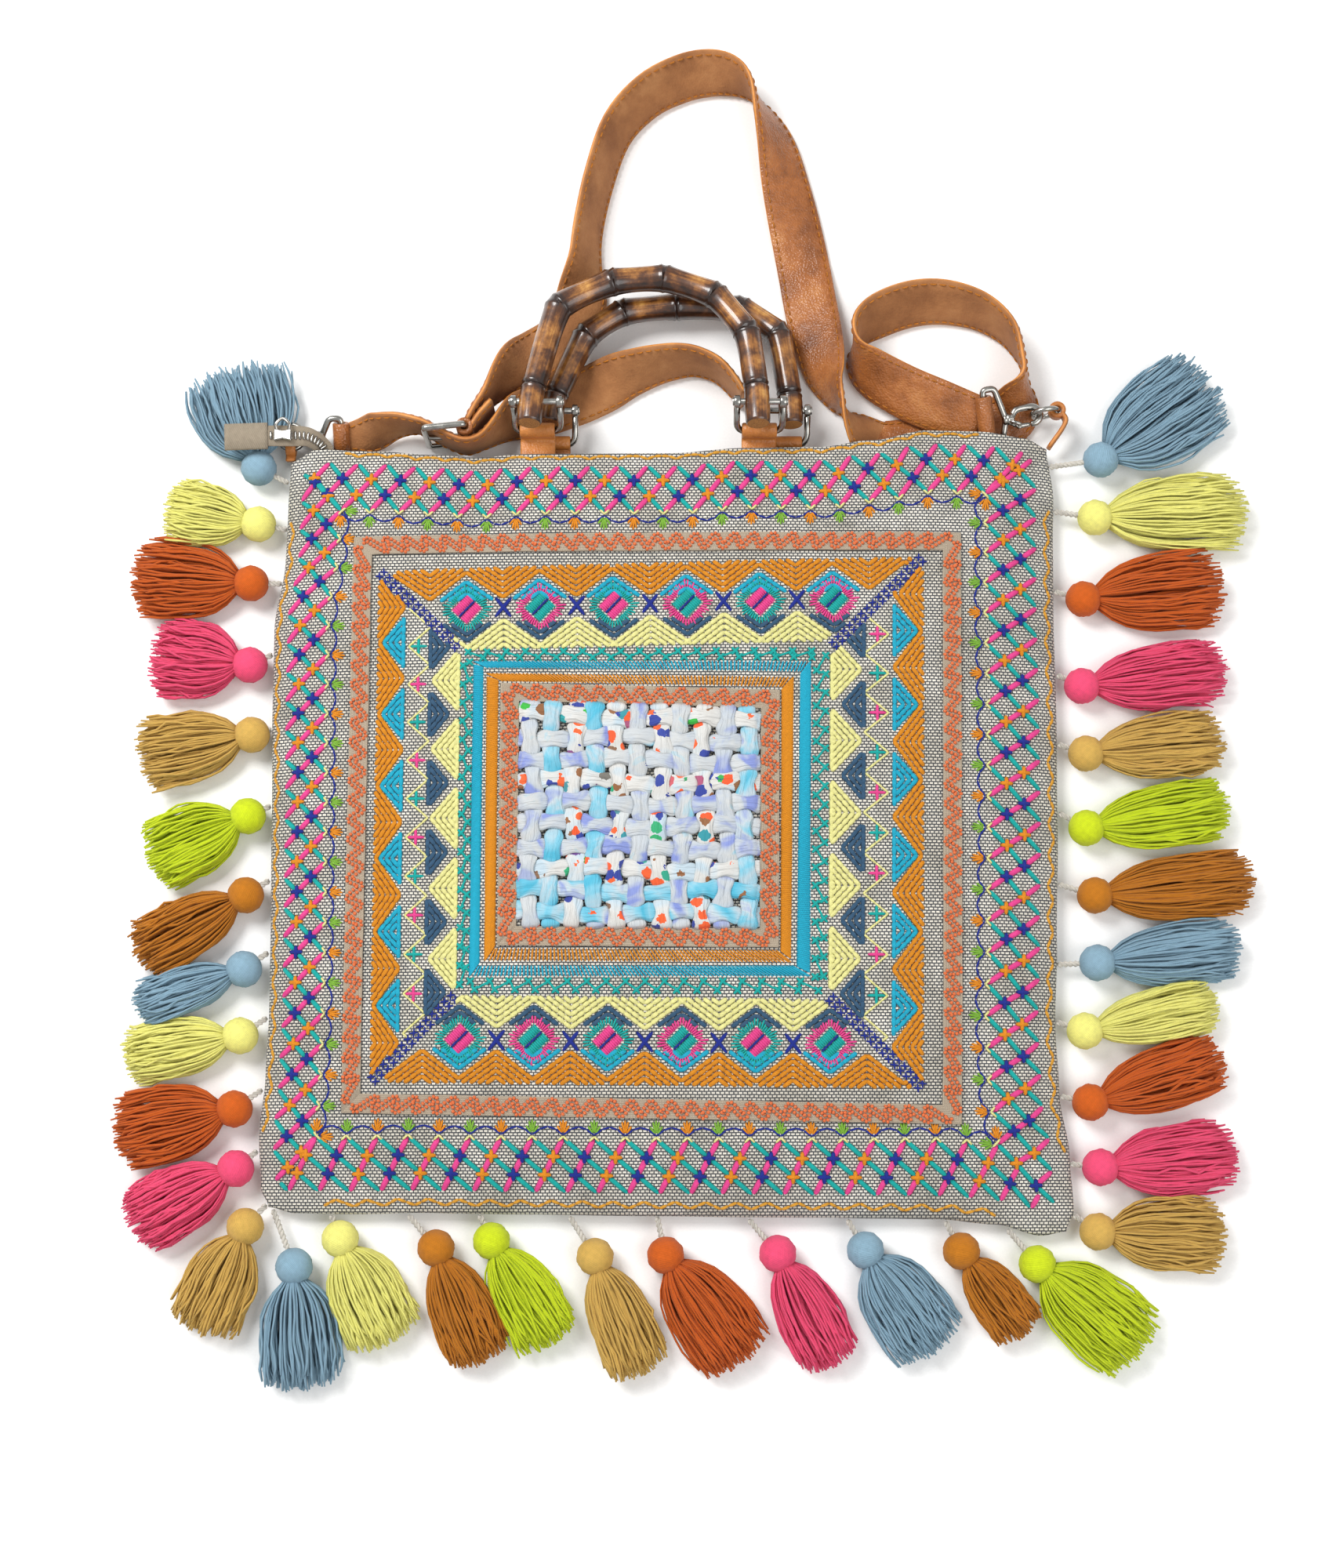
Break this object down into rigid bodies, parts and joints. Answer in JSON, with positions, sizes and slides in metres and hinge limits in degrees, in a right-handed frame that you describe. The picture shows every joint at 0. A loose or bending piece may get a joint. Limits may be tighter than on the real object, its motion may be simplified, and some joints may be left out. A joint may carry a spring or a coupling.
{
  "type": "embroidered canvas bag",
  "caption": "Soft square canvas bag lying on its back, with an embroidered front, a woven strip patch, tassels round the edge, bamboo handles and a leather strap.",
  "frame": {"origin": "middle of the flat back of the bag, on the floor it lies on", "axes": "+Z out of the embroidered front, +Y towards the mouth and the handles, +X to the right of the front"},
  "size_m": [0.5831, 0.6965, 0.0474],
  "materials": {
    "canvas": "woven, embroidered",
    "trim": "woven ribbon",
    "patch": "printed strips",
    "zip": "woven tape",
    "bamboo": "varnished",
    "nickel": "polished",
    "leather": "smooth",
    "thread_blue": "thread",
    "thread_yellow": "thread",
    "thread_rust": "thread",
    "thread_pink": "thread",
    "thread_mustard": "thread",
    "thread_lime": "thread",
    "thread_brown": "thread"
  },
  "bodies": {
    "bag": {"canvas_body": "canvas", "outer_trim": "trim", "inner_trim": "trim", "woven_patch": "patch", "zip_tape": "zip", "zip_slider": "nickel", "rear_handle": "bamboo", "strap_long": "leather", "strap_short": "leather", "strap_buckle": "nickel", "right_hook": "nickel", "right_ring": "nickel", "right_ring_tab": "leather", "left_hook": "nickel", "left_ring": "nickel", "left_ring_tab": "leather", "front_shackle_left": "nickel", "front_tab_left": "leather", "front_shackle_right": "nickel", "front_tab_right": "leather", "rear_shackle_left": "nickel", "rear_tab_left": "leather", "rear_shackle_right": "nickel", "rear_tab_right": "leather", "tassel_left_01_blue": "thread_blue", "tassel_left_02_yellow": "thread_yellow", "tassel_left_03_rust": "thread_rust", "tassel_left_04_pink": "thread_pink", "tassel_left_05_mustard": "thread_mustard", "tassel_left_06_lime": "thread_lime", "tassel_left_07_brown": "thread_brown", "tassel_left_08_blue": "thread_blue", "tassel_left_09_yellow": "thread_yellow", "tassel_left_10_rust": "thread_rust", "tassel_left_11_pink": "thread_pink", "tassel_left_12_mustard": "thread_mustard", "tassel_bottom_01_blue": "thread_blue", "tassel_bottom_02_yellow": "thread_yellow", "tassel_bottom_03_brown": "thread_brown", "tassel_bottom_04_lime": "thread_lime", "tassel_bottom_05_mustard": "thread_mustard", "tassel_bottom_06_rust": "thread_rust", "tassel_bottom_07_pink": "thread_pink", "tassel_bottom_08_blue": "thread_blue", "tassel_bottom_09_brown": "thread_brown", "tassel_bottom_10_lime": "thread_lime", "tassel_right_12_mustard": "thread_mustard", "tassel_right_11_pink": "thread_pink", "tassel_right_10_rust": "thread_rust", "tassel_right_09_yellow": "thread_yellow", "tassel_right_08_blue": "thread_blue", "tassel_right_07_brown": "thread_brown", "tassel_right_06_lime": "thread_lime", "tassel_right_05_mustard": "thread_mustard", "tassel_right_04_pink": "thread_pink", "tassel_right_03_rust": "thread_rust", "tassel_right_02_yellow": "thread_yellow", "tassel_right_01_blue": "thread_blue"},
    "front_handle": {"front_handle": "bamboo"},
    "right_hook_gate": {"right_hook_gate": "nickel"}
  },
  "joints": [
    {"name": "front_handle_swing", "type": "hinge", "parent": "bag", "child": "front_handle", "pos_m": [0, 0.2191, 0.0395], "axis": [1, 0, 0], "range_deg": [0, 190]},
    {"name": "right_hook_gate_turn", "type": "hinge", "parent": "bag", "child": "right_hook_gate", "pos_m": [0.18375, 0.21415, 0.0132], "axis": [0, 0, 1], "range_deg": [0, 35], "stiffness_Nm_per_rad": 0.01}
  ]
}
